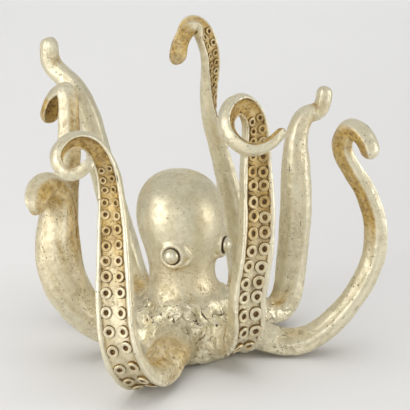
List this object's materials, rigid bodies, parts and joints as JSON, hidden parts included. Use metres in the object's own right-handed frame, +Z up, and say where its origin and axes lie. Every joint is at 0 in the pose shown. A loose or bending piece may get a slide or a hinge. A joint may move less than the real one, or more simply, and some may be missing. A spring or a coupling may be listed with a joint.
{
  "type": "octopus figurine",
  "caption": "Free-standing octopus ornament with raised curling arms bearing double rows of suckers, cast in resin and finished in champagne silver leaf",
  "frame": {"origin": "middle of the felt base's underside, under the hub of the body, on the table plane", "axes": "+Z up, -Y towards the viewer of the pictured front, +X to that viewer's right"},
  "size_m": [0.2515, 0.2143, 0.233],
  "materials": {
    "leaf_resin": "champagne silver leaf with a gold-brown antique wash",
    "leaf_eye": "burnished champagne leaf",
    "dowel_steel": "plain turned steel",
    "bare_resin": "unpainted cast resin",
    "felt": "dark needled felt"
  },
  "bodies": {
    "root": {"body": "leaf_resin", "arm_front_left": "leaf_resin", "arm_left": "leaf_resin", "arm_back_left": "leaf_resin", "arm_back_left_tall": "leaf_resin", "arm_back": "leaf_resin", "arm_back_right": "leaf_resin", "arm_right": "leaf_resin", "arm_front_right": "leaf_resin", "pin_front_left": "dowel_steel", "pin_left": "dowel_steel", "pin_back_left": "dowel_steel", "pin_back_left_tall": "dowel_steel", "pin_back": "dowel_steel", "pin_back_right": "dowel_steel", "pin_right": "dowel_steel", "pin_front_right": "dowel_steel", "eye_left": "leaf_eye", "eye_right": "leaf_eye", "pour_plug": "bare_resin", "felt_base": "felt"}
  },
  "joints": []
}
